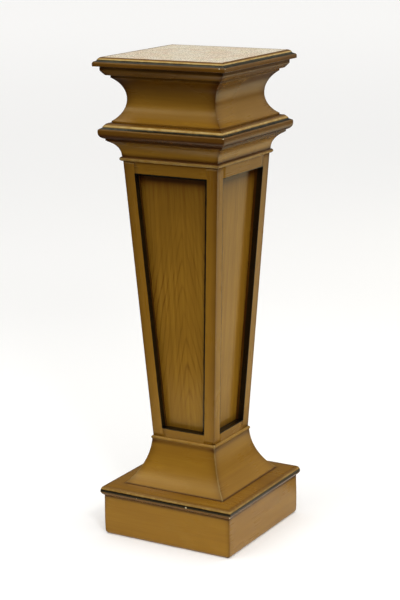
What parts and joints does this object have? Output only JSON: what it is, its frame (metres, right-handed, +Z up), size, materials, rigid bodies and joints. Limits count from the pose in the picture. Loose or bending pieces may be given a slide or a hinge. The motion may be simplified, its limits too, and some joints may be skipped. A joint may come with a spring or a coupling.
{
  "type": "display plinth",
  "caption": "Square wooden pedestal with a tapered, panelled column, moulded cap, flared foot on a square base, and a loose marble slab let into its top.",
  "frame": {"origin": "on the floor, at the centre of the base", "axes": "+Z up; the front face looks along -Y, so -Y is the front and +X the right-hand side; all four sides are alike"},
  "size_m": [0.3306, 0.3306, 1.06],
  "materials": {
    "marble": "polished beige marble with pink and grey mottling",
    "moulding": "satin golden-brown lacquer, darker glaze in the hollows, green-black painted lines",
    "frame": "satin golden-brown lacquer, black-painted recess edges",
    "panel": "satin lacquered veneer with upright cathedral grain",
    "plinth": "satin golden-brown lacquer, darker at the edges",
    "softwood": "raw sawn softwood"
  },
  "bodies": {
    "pedestal": {"top_frame_rail_front": "moulding", "top_frame_rail_right": "moulding", "top_frame_rail_back": "moulding", "top_frame_rail_left": "moulding", "bed_mould_front": "moulding", "bed_mould_right": "moulding", "bed_mould_back": "moulding", "bed_mould_left": "moulding", "neck_moulding_front": "moulding", "neck_moulding_right": "moulding", "neck_moulding_back": "moulding", "neck_moulding_left": "moulding", "cornice_front": "moulding", "cornice_right": "moulding", "cornice_back": "moulding", "cornice_left": "moulding", "cove_moulding_front": "moulding", "cove_moulding_right": "moulding", "cove_moulding_back": "moulding", "cove_moulding_left": "moulding", "corner_post_front_left": "frame", "corner_post_front_right": "frame", "corner_post_back_right": "frame", "corner_post_back_left": "frame", "top_rail_front": "frame", "top_rail_right": "frame", "top_rail_back": "frame", "top_rail_left": "frame", "bottom_rail_front": "frame", "bottom_rail_right": "frame", "bottom_rail_back": "frame", "bottom_rail_left": "frame", "panel_front": "panel", "panel_right": "panel", "panel_back": "panel", "panel_left": "panel", "flared_base_front": "moulding", "flared_base_right": "moulding", "flared_base_back": "moulding", "flared_base_left": "moulding", "plinth_top_board": "moulding", "plinth_board_front": "plinth", "plinth_board_right": "plinth", "plinth_board_back": "plinth", "plinth_board_left": "plinth", "sub_top_board": "softwood", "neck_board": "softwood", "column_head_board": "softwood", "column_foot_board": "softwood", "glue_block_front_left": "softwood", "glue_block_front_right": "softwood", "glue_block_back_right": "softwood", "glue_block_back_left": "softwood"},
    "slab": {"marble_slab": "marble"}
  },
  "joints": [
    {"name": "slab_lift", "type": "slide", "parent": "pedestal", "child": "slab", "axis": [0, 0, 1], "range_m": [0, 0.05]}
  ]
}
